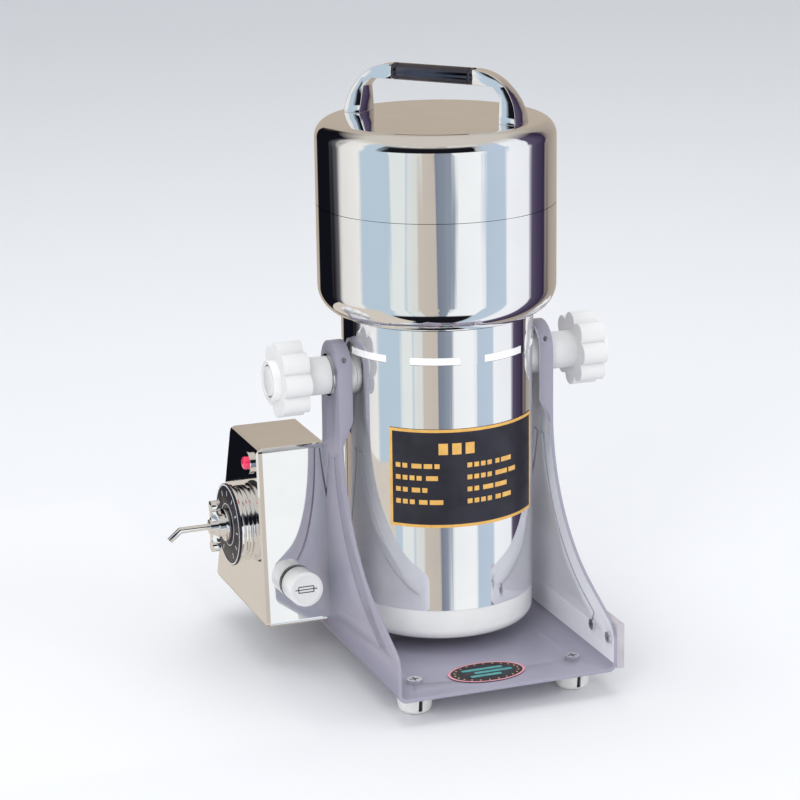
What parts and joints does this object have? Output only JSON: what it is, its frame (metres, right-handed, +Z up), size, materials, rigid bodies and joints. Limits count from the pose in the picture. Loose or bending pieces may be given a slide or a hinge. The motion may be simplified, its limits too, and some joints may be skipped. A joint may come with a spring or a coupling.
{
  "type": "hammer mill",
  "caption": "Small tilting high-speed hammer mill: chromed chamber with a lifting lid and handle on a motor housing, hung between the arms of a bent sheet stand with a control box.",
  "frame": {"origin": "on the bench, in the plane of the foot soles, below the axis of the upright mill and midway between the feet", "axes": "+X along the tilt pivots away from the control box, +Y towards the back, +Z up along the mill and its rotor"},
  "size_m": [0.252, 0.2205, 0.3438],
  "materials": {
    "hammertone_paint": "grey-violet hammertone stove enamel",
    "white_rubber": "white moulded rubber",
    "bright_steel": "bright zinc-plated or turned steel",
    "badge": "printed plate, dark field",
    "grey_plastic": "pale pinkish-grey moulded plastic",
    "white_plastic": "glossy white moulded plastic",
    "chrome": "mirror chrome",
    "black_rubber": "black rubber",
    "black_plastic": "black moulded plastic",
    "dial_black": "black printed dial",
    "red_lens": "translucent red lens",
    "fuse_glass": "clear glass tube",
    "label_black": "black printed plate with a gold border",
    "core_steel": "stacked electrical steel",
    "copper": "copper",
    "cast_aluminium": "cast aluminium",
    "brass": "brass",
    "carbon": "pressed carbon",
    "blade_steel": "ground hardened steel",
    "silicone": "translucent white silicone",
    "dark_chrome": "dark polished metal"
  },
  "bodies": {
    "stand": {"stand_frame": "hammertone_paint", "rubber_feet": "white_rubber", "foot_screws": "bright_steel", "base_badge": "badge", "side_pad": "grey_plastic", "side_pad_screws": "bright_steel", "pivot_bushes": "white_plastic", "box_back_plate": "bright_steel", "box_cover": "chrome", "box_cover_screws": "bright_steel", "box_mount_screws": "bright_steel", "wire_grommet": "black_rubber", "cable_gland": "black_plastic", "timer_body": "black_plastic", "timer_drum": "chrome", "timer_dial": "dial_black", "lamp_bezel": "chrome", "lamp_lens": "red_lens", "fuse_holder": "black_plastic"},
    "mill": {"chamber_bowl": "chrome", "neck_collar": "chrome", "motor_housing": "chrome", "pivot_bosses": "white_plastic", "label_plate": "label_black", "bottom_cap": "white_plastic", "cap_screws": "bright_steel", "motor_lead_gland": "black_plastic", "air_deflector": "white_plastic", "stator_core": "core_steel", "stator_windings": "copper", "upper_bracket": "cast_aluminium", "lower_bracket": "cast_aluminium", "bearings": "bright_steel", "shaft_seal": "black_rubber", "brush_holders": "brass", "carbon_brushes": "carbon"},
    "rotor": {"rotor_shaft": "bright_steel", "armature_core": "core_steel", "armature_windings": "copper", "commutator": "copper", "cooling_fan": "black_plastic", "hammer_bar": "blade_steel", "blade_spacer": "bright_steel", "cutting_blade": "blade_steel", "blade_nut": "bright_steel"},
    "lid_seal": {"lid_gasket": "silicone"},
    "lid": {"lid_shell": "chrome", "handle_legs": "chrome", "handle_grip": "dark_chrome", "handle_screws": "bright_steel"},
    "left_clamp": {"left_washer": "bright_steel"},
    "left_knob": {"left_stud": "bright_steel", "left_knob": "white_plastic"},
    "right_clamp": {"right_washer": "bright_steel"},
    "right_knob": {"right_stud": "bright_steel", "right_knob": "white_plastic"},
    "timer_knob": {"timer_knob": "chrome"},
    "fuse_link": {"fuse_tube": "fuse_glass"},
    "fuse_cap": {"fuse_cap": "white_plastic"}
  },
  "joints": [
    {"name": "mill_tilt", "type": "hinge", "parent": "stand", "child": "mill", "pos_m": [0, 0, 0.1735], "axis": [1, 0, 0], "range_deg": [-100, 110]},
    {"name": "rotor_spin", "type": "hinge", "parent": "mill", "child": "rotor", "pos_m": [0, 0, 0.1735], "axis": [0, 0, 1], "continuous": true},
    {"name": "lid_lift", "type": "slide", "parent": "mill", "child": "lid_seal", "axis": [0, 0, 1], "range_m": [0, 0.12]},
    {"name": "lid_turn", "type": "hinge", "parent": "lid_seal", "child": "lid", "pos_m": [0, 0, 0.268], "axis": [0, 0, 1], "range_deg": [0, 90]},
    {"name": "left_knob_out", "type": "slide", "parent": "mill", "child": "left_clamp", "axis": [-1, 0, 0], "range_m": [0, 0.0046]},
    {"name": "left_knob_turn", "type": "hinge", "parent": "left_clamp", "child": "left_knob", "pos_m": [-0.08, 0, 0.1735], "axis": [-1, 0, 0], "range_deg": [0, 1080]},
    {"name": "right_knob_out", "type": "slide", "parent": "mill", "child": "right_clamp", "axis": [1, 0, 0], "range_m": [0, 0.0046]},
    {"name": "right_knob_turn", "type": "hinge", "parent": "right_clamp", "child": "right_knob", "pos_m": [0.08, 0, 0.1735], "axis": [1, 0, 0], "range_deg": [0, 1080]},
    {"name": "timer_turn", "type": "hinge", "parent": "stand", "child": "timer_knob", "pos_m": [-0.115, 0.046, 0.077], "axis": [-1, 0, 0], "range_deg": [0, 300]},
    {"name": "fuse_pull", "type": "slide", "parent": "stand", "child": "fuse_link", "axis": [0, -0.9971, 0.076], "range_m": [0, 0.045]},
    {"name": "fuse_cap_turn", "type": "hinge", "parent": "fuse_link", "child": "fuse_cap", "pos_m": [-0.085, 0.00741, 0.05], "axis": [0, -0.9971, 0.076], "range_deg": [-45, 0]}
  ],
  "couplings": [
    {"joint": "left_knob_out", "follows": "left_knob_turn", "m_per_rad": 0.00023873},
    {"joint": "right_knob_out", "follows": "right_knob_turn", "m_per_rad": 0.00023873}
  ]
}
